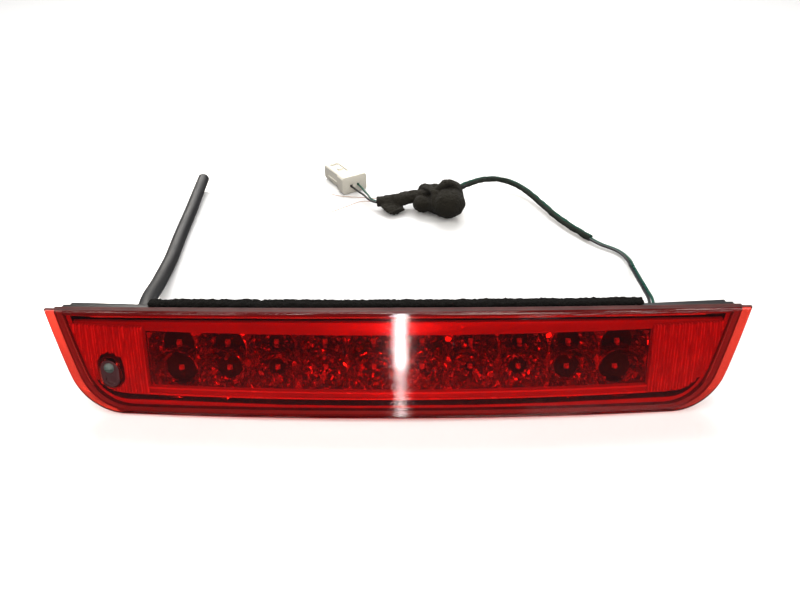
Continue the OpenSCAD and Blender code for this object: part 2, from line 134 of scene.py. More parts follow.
def newGroup(name, inputs, outputs):
    group = bpy.data.node_groups.new(name, "ShaderNodeTree")
    for label, kind, value in inputs:
        group.interface.new_socket(name=label, in_out="INPUT", socket_type=kind).default_value = value
    for label, kind in outputs:
        group.interface.new_socket(name=label, in_out="OUTPUT", socket_type=kind)
    return group, group.nodes, group.links, group.nodes.new("NodeGroupInput"), group.nodes.new("NodeGroupOutput")


def texture(nodes, links, kind, vector, **inputs):  # a texture node with its inputs set
    node = nodes.new("ShaderNodeTex" + kind)
    links.new(vector, node.inputs["Vector"])
    for key, value in inputs.items():
        node.inputs[key].default_value = value
    return node


def stretched(nodes, links, vector, scale):
    mapping = nodes.new("ShaderNodeMapping")
    mapping.inputs["Scale"].default_value = scale
    links.new(vector, mapping.inputs["Vector"])
    return mapping.outputs["Vector"]


def remap(nodes, links, value, fromRange=(0, 1), toRange=(0, 1)):
    node = nodes.new("ShaderNodeMapRange")
    for key, bound in zip(("From Min", "From Max", "To Min", "To Max"), (*fromRange, *toRange)):
        if isinstance(bound, bpy.types.NodeSocket):
            links.new(bound, node.inputs[key])
        else:
            node.inputs[key].default_value = bound
    links.new(value, node.inputs["Value"])
    return node.outputs["Result"]


def mixColors(nodes, links, factor, first, second):  # each colour is three values or a socket
    blend = nodes.new("ShaderNodeMix")
    blend.data_type = "RGBA"
    links.new(factor, blend.inputs["Factor"])
    for key, color in (("A", first), ("B", second)):
        if isinstance(color, bpy.types.NodeSocket):
            links.new(color, blend.inputs[key])
        else:
            blend.inputs[key].default_value = (*color, 1)
    return blend


def calculate(nodes, links, operation, first, second):
    node = nodes.new("ShaderNodeMath")
    node.operation = operation
    for socket, value in zip(node.inputs, (first, second)):
        if isinstance(value, bpy.types.NodeSocket):
            links.new(value, socket)
        else:
            socket.default_value = value
    return node.outputs[0]


def mouldGrainGroup():  # fine grain of moulded or rubbery surfaces, with faint blotches of colour
    group, nodes, links, start, end = newGroup(
        "mouldGrain",
        [("Scale", "NodeSocketFloat", 900.0), ("Blotch", "NodeSocketFloat", 0.15),
         ("Color", "NodeSocketColor", (0.5, 0.5, 0.5, 1)), ("Tint", "NodeSocketColor", (0.6, 0.6, 0.6, 1))],
        [("Color", "NodeSocketColor"), ("Height", "NodeSocketFloat"), ("Patches", "NodeSocketFloat")])
    place = nodes.new("ShaderNodeTexCoord").outputs["Object"]
    fine = texture(nodes, links, "Noise", place, Detail=4)
    links.new(start.outputs["Scale"], fine.inputs["Scale"])
    broad = texture(nodes, links, "Noise", place, Scale=60, Detail=5)
    patches = remap(nodes, links, broad.outputs["Fac"], (0.35, 0.7))
    share = calculate(nodes, links, "MULTIPLY", patches, start.outputs["Blotch"])
    blend = mixColors(nodes, links, share, start.outputs["Color"], start.outputs["Tint"])
    links.new(blend.outputs["Result"], end.inputs["Color"])
    links.new(fine.outputs["Fac"], end.inputs["Height"])
    links.new(patches, end.inputs["Patches"])
    return group


def scratchGroup():  # long hairlines along X, and small scuffs
    group, nodes, links, start, end = newGroup(
        "hairScratches",
        [("Fineness", "NodeSocketFloat", 1.0)],
        [("Height", "NodeSocketFloat"), ("Scuffs", "NodeSocketFloat")])
    place = nodes.new("ShaderNodeTexCoord").outputs["Object"]
    hair = texture(nodes, links, "Noise", stretched(nodes, links, place, (14, 600, 2400)), Detail=3)
    links.new(start.outputs["Fineness"], hair.inputs["Scale"])
    marks = texture(nodes, links, "Noise", place, Scale=150, Detail=6, Roughness=0.7)
    links.new(hair.outputs["Fac"], end.inputs["Height"])
    links.new(remap(nodes, links, marks.outputs["Fac"], (0.66, 0.76)), end.inputs["Scuffs"])
    return group


grainGroup = mouldGrainGroup()
scratchesGroup = scratchGroup()


def useGroup(nodes, tree, **inputs):
    node = nodes.new("ShaderNodeGroup")
    node.node_tree = tree
    for key, value in inputs.items():
        node.inputs[key].default_value = value
    return node


def addBump(nodes, links, shader, height, strength, distance):
    bump = nodes.new("ShaderNodeBump")
    bump.inputs["Strength"].default_value = strength
    bump.inputs["Distance"].default_value = distance
    links.new(height, bump.inputs["Height"])
    links.new(bump.outputs["Normal"], shader.inputs["Normal"])


def addRoughness(nodes, links, shader, mask, low, high):
    links.new(remap(nodes, links, mask, (0, 1), (low, high)), shader.inputs["Roughness"])


def grainedMaterial(name, color, tint, roughness, grain=900, bump=0.15, depth=0.00005, blotch=0.3, metallic=0.0):
    material, nodes, links, shader = newMaterial(name, color, roughness, metallic)
    group = useGroup(nodes, grainGroup, Scale=grain, Blotch=blotch, Color=(*color, 1), Tint=(*tint, 1))
    links.new(group.outputs["Color"], shader.inputs["Base Color"])
    addRoughness(nodes, links, shader, group.outputs["Patches"], roughness * 0.85, min(1.0, roughness * 1.15))
    addBump(nodes, links, shader, group.outputs["Height"], bump, depth)
    return material


def redLensMaterial():
    material, nodes, links, shader = newMaterial(
        "redLens", (0.52, 0.034, 0.020), 0.05, 0.0,
        **{"Transmission Weight": 1.0, "IOR": 1.49, "Specular IOR Level": 0.35})
    marks = useGroup(nodes, scratchesGroup)
    addBump(nodes, links, shader, marks.outputs["Height"], 0.6, 0.00002)
    addRoughness(nodes, links, shader, marks.outputs["Scuffs"], 0.05, 0.34)
    clear = nodes.new("ShaderNodeBsdfTransparent")  # lets light through to the optics as it casts its shadow
    clear.inputs["Color"].default_value = (0.9, 0.26, 0.28, 1)
    path = nodes.new("ShaderNodeLightPath")
    mixed = nodes.new("ShaderNodeMixShader")
    for source, socket in zip((path.outputs["Is Shadow Ray"], shader.outputs[0], clear.outputs[0]), mixed.inputs):
        links.new(source, socket)
    links.new(mixed.outputs[0], nodes["Material Output"].inputs["Surface"])
    return material


def frostedLensMaterial():  # the unpolished, dusty edge of the lens
    material, nodes, links, shader = newMaterial(
        "lensFrosted", (0.30, 0.075, 0.07), 0.55, 0.0,
        **{"Transmission Weight": 0.25, "IOR": 1.49, "Specular IOR Level": 0.1})
    group = useGroup(nodes, grainGroup, Scale=350, Blotch=0.8, Color=(0.045, 0.010, 0.009, 1),
                     Tint=(0.11, 0.034, 0.03, 1))
    links.new(group.outputs["Color"], shader.inputs["Base Color"])
    addBump(nodes, links, shader, group.outputs["Height"], 0.3, 0.0001)
    return material


def vectorStep(nodes, links, operation, first):
    node = nodes.new("ShaderNodeVectorMath")
    node.operation = operation
    links.new(first, node.inputs[0])
    return node


def metallisedMaterial(name, color, roughness, tilt):  # a mirror skin of small facets, each leaning its own way, with painted glints in its colour
    material, nodes, links, shader = newMaterial(name, color, roughness, 0.86)
    place = nodes.new("ShaderNodeTexCoord").outputs["Object"]
    facets = texture(nodes, links, "Voronoi", place, Scale=430)
    near = nodes.new("ShaderNodeAttribute")
    near.attribute_name = "rimShare"
    centred = vectorStep(nodes, links, "SUBTRACT", facets.outputs["Color"])
    centred.inputs[1].default_value = (0.5, 0.5, 0.5)
    scaled = vectorStep(nodes, links, "SCALE", centred.outputs[0])
    sway = remap(nodes, links, near.outputs["Fac"], (0.45, 0.85), (tilt * 0.15, tilt))
    links.new(sway, scaled.inputs["Scale"])  # calm in the middle of each cup, restless between the cups
    added = vectorStep(nodes, links, "ADD", nodes.new("ShaderNodeNewGeometry").outputs["Normal"])
    links.new(scaled.outputs[0], added.inputs[1])
    unit = vectorStep(nodes, links, "NORMALIZE", added.outputs[0])
    links.new(unit.outputs[0], shader.inputs["Normal"])
    parts = nodes.new("ShaderNodeSeparateColor")
    links.new(facets.outputs["Color"], parts.inputs["Color"])
    # painted glints and shade: by each facet's random tone, some facets keep the full mirror colour and the rest are
    # darkened, with more bright facets towards the cup rims
    threshold = remap(nodes, links, near.outputs["Fac"], (0.5, 0.95), (0.75, 0.1))
    glintPick = remap(nodes, links, parts.outputs["Green"], (threshold, 0.9))
    tone = mixColors(nodes, links, glintPick, (color[0] * 0.4, color[1] * 0.28, color[2] * 0.34), color)
    links.new(tone.outputs["Result"], shader.inputs["Base Color"])
    return material


def ribbedMaterial(name, dark, bright):  # fine upright ribs painted into the colour, fading in and out along their height: painted highlights on the crests and painted shade in the valleys
    material, nodes, links, shader = newMaterial(name, bright, 0.28, 0.2)
    place = nodes.new("ShaderNodeTexCoord").outputs["Object"]
    ribs = texture(nodes, links, "Wave", place, Scale=203)
    ribs.bands_direction = "X"
    patches = texture(nodes, links, "Noise", stretched(nodes, links, place, (1, 0.12, 0.12)), Scale=900)
    ribLightShares = (remap(nodes, links, ribs.outputs["Fac"], (0.45, 0.95)),
              remap(nodes, links, patches.outputs["Fac"], (0.35, 0.6)))
    # painted light: dark valleys and bright crests of the ribs, where shade and highlight would fall
    tone = mixColors(nodes, links, calculate(nodes, links, "MULTIPLY", *ribLightShares), dark, bright)
    links.new(tone.outputs["Result"], shader.inputs["Base Color"])
    return material


lensRed = redLensMaterial()
lensFrosted = frostedLensMaterial()
lensWelded = grainedMaterial("lensWelded", (0.20, 0.06, 0.07), (0.30, 0.09, 0.10), 0.4, 500, 0.1)
housingBlack = grainedMaterial("housingBlack", (0.009, 0.0085, 0.009), (0.022, 0.021, 0.02), 0.45, 1500, 0.2)
beadRed = grainedMaterial("beadRed", (0.10, 0.008, 0.012), (0.16, 0.01, 0.02), 0.25, 700, 0.1)
bezelDark = grainedMaterial("bezelDark", (0.62, 0.45, 0.50), (0.80, 0.58, 0.64), 0.22, 500, 0.05, metallic=0.45)
# a lighter, pinkish copy of the black housing colour for its forward-facing inner faces: painted light where they show
# through the lens
housingLitFace = grainedMaterial("housingLitFace", (0.55, 0.25, 0.30), (0.70, 0.34, 0.40), 0.4, 500, 0.1)
# a lighter copy of the bezel colour for the bezel ridges: a painted highlight along them
bezelRidgeLit = grainedMaterial("bezelRidgeLit", (0.95, 0.7, 0.75), (1.0, 0.8, 0.85), 0.25, 500, 0.05, metallic=0.3)
metallised = metallisedMaterial("metallised", (0.97, 0.96, 0.98), 0.04, 0.6)
# the flute plates' colour carries painted highlights on the rib crests and painted shade in the valleys
flutedMetal = ribbedMaterial("flutedMetal", (0.50, 0.36, 0.40), (1.0, 0.95, 0.95))
boardGreen = grainedMaterial("boardGreen", (0.015, 0.12, 0.05), (0.02, 0.16, 0.07), 0.35, 400, 0.1)
ledResin = grainedMaterial("ledResin", (0.85, 0.80, 0.72), (0.75, 0.7, 0.6), 0.12, 300, 0.05)
componentBlack = grainedMaterial("componentBlack", (0.03, 0.03, 0.03), (0.06, 0.06, 0.06), 0.45)
zincBright = grainedMaterial("zincBright", (0.72, 0.72, 0.74), (0.5, 0.5, 0.5), 0.28, 700, 0.2, metallic=1.0)
zincYellow = grainedMaterial("zincYellow", (0.66, 0.56, 0.34), (0.5, 0.5, 0.42), 0.3, 700, 0.2, metallic=1.0)
tinnedBrass = grainedMaterial("tinnedBrass", (0.72, 0.66, 0.52), (0.6, 0.52, 0.36), 0.3, 700, 0.1, metallic=1.0)
rubberBlack = grainedMaterial("rubberBlack", (0.02, 0.02, 0.02), (0.045, 0.045, 0.045), 0.6, 1200, 0.3)
hoseRubber = grainedMaterial("hoseRubber", (0.009, 0.009, 0.0095), (0.021, 0.021, 0.022), 0.5, 1600, 0.25, blotch=0.5)
nozzleDark = grainedMaterial("nozzleDark", (0.05, 0.012, 0.014), (0.08, 0.03, 0.03), 0.35)
jetGrey = grainedMaterial("jetGrey", (0.07, 0.09, 0.08), (0.11, 0.13, 0.115), 0.4, 900, 0.2)
plasticBlack = grainedMaterial("plasticBlack", (0.03, 0.03, 0.032), (0.06, 0.06, 0.06), 0.4)
wireGreen = grainedMaterial("wireGreen", (0.003, 0.062, 0.040), (0.006, 0.095, 0.06), 0.3, 500, 0.1)
wireBlack = grainedMaterial("wireBlack", (0.006, 0.006, 0.0065), (0.014, 0.014, 0.014), 0.32, 500, 0.1)
ivoryNylon = grainedMaterial("ivoryNylon", (0.66, 0.63, 0.55), (0.74, 0.70, 0.60), 0.35, 260, 0.06, 0.0001, 0.5)
ivoryLock = grainedMaterial("ivoryLock", (0.80, 0.76, 0.64), (0.88, 0.8, 0.64), 0.38, 260, 0.06, 0.0001, 0.5)
bareCopper = grainedMaterial("bareCopper", (0.42, 0.2, 0.1), (0.3, 0.15, 0.08), 0.32, 900, 0.1, metallic=0.6)


def foamMaterial(name, color, tint, cell, depth, sheen, bare=None):  # bare: colour of what shows through
    material, nodes, links, shader = newMaterial(
        name, color, 0.95, 0.0, **{"Sheen Weight": sheen, "Sheen Roughness": 0.5, "Specular IOR Level": 0.08})
    place = nodes.new("ShaderNodeTexCoord").outputs["Object"]
    pores = texture(nodes, links, "Voronoi", place, Scale=cell)
    fuzz = texture(nodes, links, "Noise", place, Scale=cell * 2.2, Detail=6)
    height = calculate(nodes, links, "ADD", pores.outputs["Distance"], fuzz.outputs["Fac"])
    tone = mixColors(nodes, links, fuzz.outputs["Fac"], color, tint)
    if bare:
        shows = nodes.new("ShaderNodeAttribute")
        shows.attribute_name = "wireShows"
        tone = mixColors(nodes, links, shows.outputs["Fac"], tone.outputs["Result"], bare)
    links.new(tone.outputs["Result"], shader.inputs["Base Color"])
    addBump(nodes, links, shader, height, 0.9, depth)
    return material


foamBlack = foamMaterial("foamBlack", (0.0015, 0.0015, 0.0015), (0.013, 0.012, 0.011), 900, 0.0008, 0.0)
wrapFleece = foamMaterial("wrapFleece", (0.002, 0.0018, 0.0014), (0.036, 0.032, 0.024), 1000, 0.0007, 0.05)
fleeceTape = foamMaterial("fleeceTape", (0.003, 0.004, 0.003), (0.035, 0.044, 0.034), 1300, 0.0005, 0.05,
                          bare=(0.003, 0.055, 0.036))


print("cords")
hoseRoute = [(-0.1403, 0.0179, 0.0205), (-0.1403, 0.03, 0.0205), (-0.1432, 0.042, 0.0188),
             (-0.1474, 0.058, 0.0147), (-0.151, 0.078, 0.0096), (-0.154, 0.098, 0.0062),
             (-0.1557, 0.116, 0.0048), (-0.1574, 0.132, 0.0046), (-0.1593, 0.15, 0.0046),
             (-0.1612, 0.17, 0.0047), (-0.163, 0.192, 0.005), (-0.165, 0.214, 0.0058),
             (-0.1664, 0.233, 0.0069), (-0.1673, 0.247, 0.0078)]
leadRoute = [(0.134, 0.015, 0.029, 0.001), (0.1345, 0.02, 0.029, 0.001), (0.139, 0.035, 0.027, 0.001),
             (0.1437, 0.053, 0.021, 0.001), (0.1496, 0.077, 0.013, 0.001), (0.1548, 0.103, 0.006, 0.001),
             (0.1574, 0.121, 0.0024, 0.001), (0.1546, 0.131, 0.0018, 0.001), (0.144, 0.141, 0.0022, 0.001),
             (0.133, 0.158, 0.0031, 0.001), (0.123, 0.177, 0.0036, 0.001), (0.115, 0.199, 0.0042, 0.001),
             (0.107, 0.219, 0.0055, 0.001), (0.098, 0.2325, 0.007, 0.001), (0.086, 0.2375, 0.0092, 0.001),
             (0.072, 0.23, 0.013, 0.001), (0.058, 0.214, 0.017, 0.001), (0.046, 0.2, 0.0185, 0.001),
             (0.033, 0.196, 0.014, 0.001), (0.018, 0.205, 0.009, 0.001), (-0.001, 0.202, 0.007, 0.001),
             (-0.018, 0.202, 0.0065, 0.001), (-0.028, 0.218, 0.0061, 0.0018), (-0.0355, 0.232, 0.006, 0.0032),
             (-0.0397, 0.2392, 0.006, 0.0032)]
strandFarRoute = [(-0.006, 0.208, 0.0026), (-0.012, 0.216, 0.0012), (-0.022, 0.221, 0.0006),
                  (-0.036, 0.223, 0.0006), (-0.05, 0.226, 0.0006), (-0.066, 0.235, 0.0008),
                  (-0.082, 0.244, 0.0012), (-0.096, 0.256, 0.0022)]
strandNearRoute = [(-0.012, 0.204, 0.0024), (-0.02, 0.213, 0.0009), (-0.03, 0.215, 0.0006),
                   (-0.042, 0.206, 0.0006), (-0.054, 0.196, 0.0006), (-0.066, 0.1875, 0.0008),
                   (-0.072, 0.1905, 0.0007), (-0.078, 0.203, 0.0009), (-0.083, 0.215, 0.0016)]


def routeLength(points):
    return sum((Vector(b) - Vector(a)).length for a, b in zip(points, points[1:]))


def tangentAt(points, i):
    return (Vector(points[min(i + 1, len(points) - 1)]) - Vector(points[max(i - 1, 0)])).normalized()


def besideRoute(route, side):  # one wire of the pair, as far from the middle as the route says
    middle = [Vector(p[:3]) for p in route]
    beside = []
    for i, p in enumerate(route):
        t = tangentAt(middle, i)
        beside.append(tuple(middle[i] + side * p[3] * Vector((t.y, -t.x, 0)).normalized()))
    return beside


def cordCurve(name, points, radius, roundness=3):
    data = bpy.data.curves.new(name, "CURVE")
    data.dimensions = "3D"
    data.bevel_depth = radius
    data.bevel_resolution = roundness
    data.resolution_u = 8
    data.use_fill_caps = True
    spline = data.splines.new("BEZIER")
    spline.bezier_points.add(len(points) - 1)
    for knot, point in zip(spline.bezier_points, points):
        knot.co = point
        knot.handle_left_type = "AUTO"
        knot.handle_right_type = "AUTO"
    piece = bpy.data.objects.new(name, data)
    bpy.context.collection.objects.link(piece)
    return piece


def smoothPath(points, stepsPerSpan):  # Catmull-Rom through the points
    knots = [Vector(p) for p in points]
    knots = [2 * knots[0] - knots[1]] + knots + [2 * knots[-1] - knots[-2]]
    path = []
    for i in range(1, len(knots) - 2):
        a, b, c, d = knots[i - 1:i + 3]
        for k in range(stepsPerSpan):
            t = k / stepsPerSpan
            path.append(0.5 * ((2 * b) + (c - a) * t + (2 * a - 5 * b + 4 * c - d) * t * t
                               + (3 * b - a - 3 * c + d) * t ** 3))
    return path + [knots[-2]]


def ringMesh(name, verts, sides, mergeDistance=0.00002, capped=True):  # a skin over rings of points in a row
    count = len(verts) // sides
    faces = [(i * sides + k, (i + 1) * sides + k, (i + 1) * sides + (k + 1) % sides, i * sides + (k + 1) % sides)
             for i in range(count - 1) for k in range(sides)]
    if capped:
        faces.append(tuple(range(sides)))
        faces.append(tuple((count - 1) * sides + k for k in reversed(range(sides))))
    mesh = bpy.data.meshes.new(name)
    mesh.from_pydata(verts, [], faces)
    piece = bpy.data.objects.new(name, mesh)
    bpy.context.collection.objects.link(piece)
    tidyNormals(piece, mergeDistance)
    return piece


def sweptTube(name, path, sides, radiusAt, capped=True):  # radiusAt(share along, angle) gives the radius
    verts = []
    count = len(path)
    for i, point in enumerate(path):
        t = tangentAt(path, i)
        u = Vector((t.y, -t.x, 0)).normalized()
        v = u.cross(t)
        for k in range(sides):
            a = 2 * math.pi * k / sides
            r = radiusAt(i / (count - 1), a)
            verts.append(point + r * (math.cos(a) * u + math.sin(a) * v))
    return ringMesh(name, verts, sides, capped=capped)


hoseSettings = {"outer": 0.0045, "wall": 0.0019, "sides": 28}
hosePath = smoothPath(hoseRoute, 5)
hose = sweptTube("washerHose", hosePath, hoseSettings["sides"], lambda s, a: hoseSettings["outer"], capped=False)
applyModifier(hose, "SOLIDIFY", thickness=hoseSettings["wall"], offset=-1)
applyModifier(hose, "BEVEL", width=0.0004, segments=2, limit_method="ANGLE", angle_limit=math.radians(50))
smoothEdges(hose, 40)
finishPiece(hose, hoseRubber, replaces=["washer_hose"])

wireSettings = {"radius": 0.00085}
greenRoute, blackRoute = besideRoute(leadRoute, 1), besideRoute(leadRoute, -1)
greenWire = cordCurve("greenWire", greenRoute, wireSettings["radius"])
blackWire = cordCurve("blackWire", blackRoute, wireSettings["radius"])
for wire, material, slot, node in ((greenWire, wireGreen, "wire_green", "green_wire"),
                                   (blackWire, wireBlack, "wire_black", "black_wire")):
    finishPiece(wire, material, replaces=[node])
strandRadius = 0.00026
strandFar = cordCurve("copperStrandFar", strandFarRoute, strandRadius, 2)
strandNear = cordCurve("copperStrandNear", strandNearRoute, strandRadius, 2)
for strand, node in ((strandFar, "copper_strand_far"), (strandNear, "copper_strand_near")):
    finishPiece(strand, bareCopper, replaces=[node])


def nodeCopy(node, name, bevel=0.0003, segments=2, angle=40):  # a merged copy of a CAD piece with softened edges
    piece = bpy.data.objects.new(name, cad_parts[node].data.copy())
    bpy.context.collection.objects.link(piece)
    piece.data.materials.clear()
    selectOnly(piece)
    bpy.ops.mesh.customdata_custom_splitnormals_clear()
    bpy.ops.object.mode_set(mode="EDIT")
    bpy.ops.mesh.select_all(action="SELECT")
    bpy.ops.mesh.remove_doubles(threshold=0.000004)
    bpy.ops.mesh.dissolve_limited(angle_limit=math.radians(1.5))
    bpy.ops.object.mode_set(mode="OBJECT")
    if bevel:
        applyModifier(piece, "BEVEL", width=bevel, segments=segments, limit_method="ANGLE",
                      angle_limit=math.radians(angle), use_clamp_overlap=True, harden_normals=False)
    smoothEdges(piece, angle)
    return piece


def noisePush(piece, size, distance, octaves=3):  # roughens a dense mesh along its normals
    mesh = piece.data
    normals = [v.normal.copy() for v in mesh.vertices]
    for v, normal in zip(mesh.vertices, normals):
        v.co += normal * (noise.fractal(v.co / size, 0.6, 2.1, octaves) * distance)
    mesh.update()


print("wrappings on the wires")
tapeSettings = {"first": 8, "last": 17, "steps": 14, "skip": 6, "sides": 40, "radius": 0.00245, "bareAngle": 1.2,
                "overlap": 0.0003, "turn": 0.0085, "rough": 0.00035}
tapeRoute = [p[:3] for p in leadRoute[tapeSettings["first"]:tapeSettings["last"] + 1]]
tapePath = smoothPath(tapeRoute, tapeSettings["steps"])[tapeSettings["skip"]:]
tapeLength = routeLength(tapePath)


def tapeRadius(share, angle):
    wind = (share * tapeLength / tapeSettings["turn"] + angle / (2 * math.pi)) % 1.0
    ridge = tapeSettings["overlap"] * (1 - wind)
    flat = 1.0 - 0.16 * math.sin(angle) ** 2
    wander = noise.fractal(Vector((math.cos(angle) * 1.2, math.sin(angle) * 1.2, share * 24)), 0.6, 2.0, 4)
    return (tapeSettings["radius"] + ridge) * flat + tapeSettings["rough"] * wander


tape = sweptTube("wireTape", tapePath, tapeSettings["sides"], tapeRadius)
wireShows = tape.data.attributes.new("wireShows", "FLOAT", "POINT")  # where the loose tape leaves the green wire bare
for i in range(len(wireShows.data)):
    angle = 2 * math.pi * (i % tapeSettings["sides"]) / tapeSettings["sides"]
    share = (i // tapeSettings["sides"]) / len(tapePath)
    ragged = noise.fractal(Vector((share * 60, math.cos(angle), math.sin(angle))), 0.7, 2.0, 3)
    bare = math.cos(angle - tapeSettings["bareAngle"]) - 0.62 + 0.3 * ragged
    wireShows.data[i].value = min(1.0, max(0.0, 3.5 * bare))
smoothEdges(tape, 60)
finishPiece(tape, fleeceTape, replaces=["wire_tape"])

wrapSettings = {"voxel": 0.0011, "fineVoxel": 0.0006, "wrinkle": 0.0007, "wrinkleSize": 0.0065, "pore": 0.00025,
                "poreSize": 0.0011}
wrapLobes = [((0.0385, 0.1865, 0.0122), (0.0135, 0.0115, 0.0112), 20),  # each one's place, radii and turn
             ((0.0395, 0.1985, 0.0150), (0.0115, 0.0105, 0.0110), -30),
             ((0.0285, 0.2035, 0.0120), (0.0085, 0.0095, 0.0080), 30),
             ((0.0225, 0.2130, 0.0100), (0.0075, 0.0062, 0.0068), 10),
             ((0.0305, 0.1900, 0.0100), (0.0085, 0.0080, 0.0082), 0),
             ((0.0185, 0.1935, 0.0082), (0.0078, 0.0062, 0.0066), -20),
             ((0.0175, 0.2035, 0.0086), (0.0085, 0.0060, 0.0064), 0)]
# each band's route, half width and half thickness
wrapBands = [([(0.0480, 0.190, 0.009), (0.0465, 0.194, 0.0195), (0.0390, 0.1935, 0.0268), (0.0305, 0.1935, 0.0222),
               (0.0240, 0.199, 0.0165), (0.0160, 0.206, 0.0105)], 0.0036, 0.0022),
             ([(0.0320, 0.181, 0.006), (0.0275, 0.183, 0.0150), (0.0280, 0.190, 0.0205), (0.0245, 0.198, 0.0190),
               (0.0220, 0.2075, 0.0165), (0.0185, 0.214, 0.0105)], 0.0034, 0.0020),
             ([(0.0200, 0.2035, 0.0115), (0.0100, 0.2038, 0.0098), (0.0000, 0.2020, 0.0080), (-0.0080, 0.2022, 0.0072),
               (-0.0175, 0.2018, 0.0066)], 0.0064, 0.0050),
             ([(-0.0085, 0.2030, 0.0066), (-0.0065, 0.1990, 0.0058), (-0.0040, 0.1945, 0.0046),
               (-0.0008, 0.1898, 0.0033)], 0.0086, 0.0028)]


def wrapLobe(place, size, turn):
    clearSelection()
    bpy.ops.mesh.primitive_uv_sphere_add(segments=32, ring_count=20, radius=1, location=place,
                                         rotation=(0, 0, math.radians(turn)))
    lobe = bpy.context.object
    lobe.scale = size
    placeInMesh(lobe)
    return lobe


def flatBand(name, points, wide, thick, sides=20, steps=10):  # a soft flattened strip along a line
    path = smoothPath(points, steps)
    count = len(path)
    verts = []
    for i, point in enumerate(path):
        t = tangentAt(path, i)
        across = t.cross(Vector((0, 0, 1))).normalized()
        up = across.cross(t)
        taper = 0.55 + 0.45 * math.sin(math.pi * min(1.0, 0.12 + i / (count - 1)) * 0.9) ** 0.5
        for k in range(sides):
            a = 2 * math.pi * k / sides
            verts.append(point + across * (wide * taper * math.cos(a)) + up * (thick * taper * math.sin(a)))
    return ringMesh(name, verts, sides)


lobes = [wrapLobe(*lobe) for lobe in wrapLobes]
body = joinPieces(lobes, "wrapBody")
applyModifier(body, "REMESH", mode="VOXEL", voxel_size=wrapSettings["voxel"], use_smooth_shade=True)
applyModifier(body, "SMOOTH", factor=0.6, iterations=8)
bands = [flatBand("wrapBand%d" % i, *band) for i, band in enumerate(wrapBands)]
wrap = joinPieces([body] + bands, "foamWrap")
applyModifier(wrap, "REMESH", mode="VOXEL", voxel_size=wrapSettings["fineVoxel"], use_smooth_shade=True)
applyModifier(wrap, "SMOOTH", factor=0.5, iterations=2)
noisePush(wrap, wrapSettings["wrinkleSize"], wrapSettings["wrinkle"])
noisePush(wrap, wrapSettings["poreSize"], wrapSettings["pore"])
finishPiece(wrap, wrapFleece, replaces=["foam_wrap"])


def coverNode(node, name, bevel, segments, material, body="lamp"):
    return finishPiece(nodeCopy(node, name, bevel, segments), material, body, [node])


print("plug")
plugHousing = coverNode("plug_housing", "plugHousing", 0.00035, 3, ivoryNylon)
lockArm = coverNode("lock_arm", "lockArm", 0.0003, 3, ivoryNylon, "plug_lock")
terminalLock = coverNode("terminal_lock", "terminalLock", 0.0002, 2, ivoryLock, "plug_retainer")
plugTerminals = coverNode("plug_terminals", "plugTerminals", 0.0001, 1, tinnedBrass)


print("lens")
lensShape = {"halfWidth": 0.17, "height": 0.0525, "lean": 0.019, "fallBack": 0.009, "swell": 0.0012,
             "crown": 0.0036, "skin": 0.0024, "foot": 0.0045, "slope": 0.3, "round": 0.0009,
             "toNozzleEnd": 0.058}
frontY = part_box("nozzle_body")[1].y - lensShape["toNozzleEnd"]
planRadius = (lensShape["halfWidth"] ** 2 + lensShape["fallBack"] ** 2) / (2 * lensShape["fallBack"])
rake = math.atan(lensShape["lean"] / lensShape["height"])


def faceDepth(z):
    share = z / lensShape["height"]
    return lensShape["lean"] * share - lensShape["swell"] * (1 - (2 * share - 1) ** 2)


def onLayer(x, z, depth):  # the point that lies this deep behind the face
    reach = planRadius - faceDepth(z) - depth
    return Vector((x, frontY + planRadius - math.sqrt(reach * reach - x * x), z))


def spanAt(x, outline):  # lowest and highest z of an outline at x
    w, top, low, corner, arch = outline
    drop = lensShape["crown"] * (x / lensShape["halfWidth"]) ** 2
    edgeTop = top - lensShape["crown"] * (w / lensShape["halfWidth"]) ** 2
    leanAngle = math.atan(lensShape["slope"])
    cz = low + corner
    cx = w - lensShape["slope"] * (edgeTop - cz) - corner / math.cos(leanAngle)
    side = abs(x)
    turn = cx + corner * math.cos(leanAngle)
    if side <= cx:
        bottom = low + arch * (1 - (side / cx) ** 2)
    elif side <= turn:
        bottom = cz - math.sqrt(max(0.0, corner ** 2 - (side - cx) ** 2))
    else:
        bottom = edgeTop - (w - side) / lensShape["slope"]
    return min(bottom, top - drop), top - drop


def outlineSpot(across, up, outline, depth):
    x = outline[0] * (0.7 * across + 0.3 * math.sin(across * math.pi / 2))
    low, high = spanAt(x, outline)
    return onLayer(x, low + (high - low) * up, depth)


def insetOutline(outline, by):
    w, top, low, corner, arch = outline
    return (w - by * 1.6, top - by, low + by, corner - by, arch)


# each outline: half width, top, lowest point, corner radius and arch of the lower edge
lensEdge = (lensShape["halfWidth"], lensShape["height"], 0.0, 0.026, 0.0012)
footEdge = (0.1658, 0.0521, 0.0004, 0.024, 0.0012)
footInner = (0.1614, 0.0495, 0.003, 0.0215, 0.0012)


def gridSheet(name, columns, rows, spot):  # a flat grid whose points are then put in place
    clearSelection()
    bpy.ops.mesh.primitive_grid_add(x_subdivisions=columns, y_subdivisions=rows, size=2)
    sheet = bpy.context.object
    sheet.name = name
    mesh = sheet.data
    across = mesh.attributes.new("across", "FLOAT", "POINT")
    up = mesh.attributes.new("up", "FLOAT", "POINT")
    for i, v in enumerate(mesh.vertices):
        across.data[i].value, up.data[i].value = v.co.x, v.co.y / 2 + 0.5
        v.co = spot(v.co.x, v.co.y / 2 + 0.5)
    return sheet


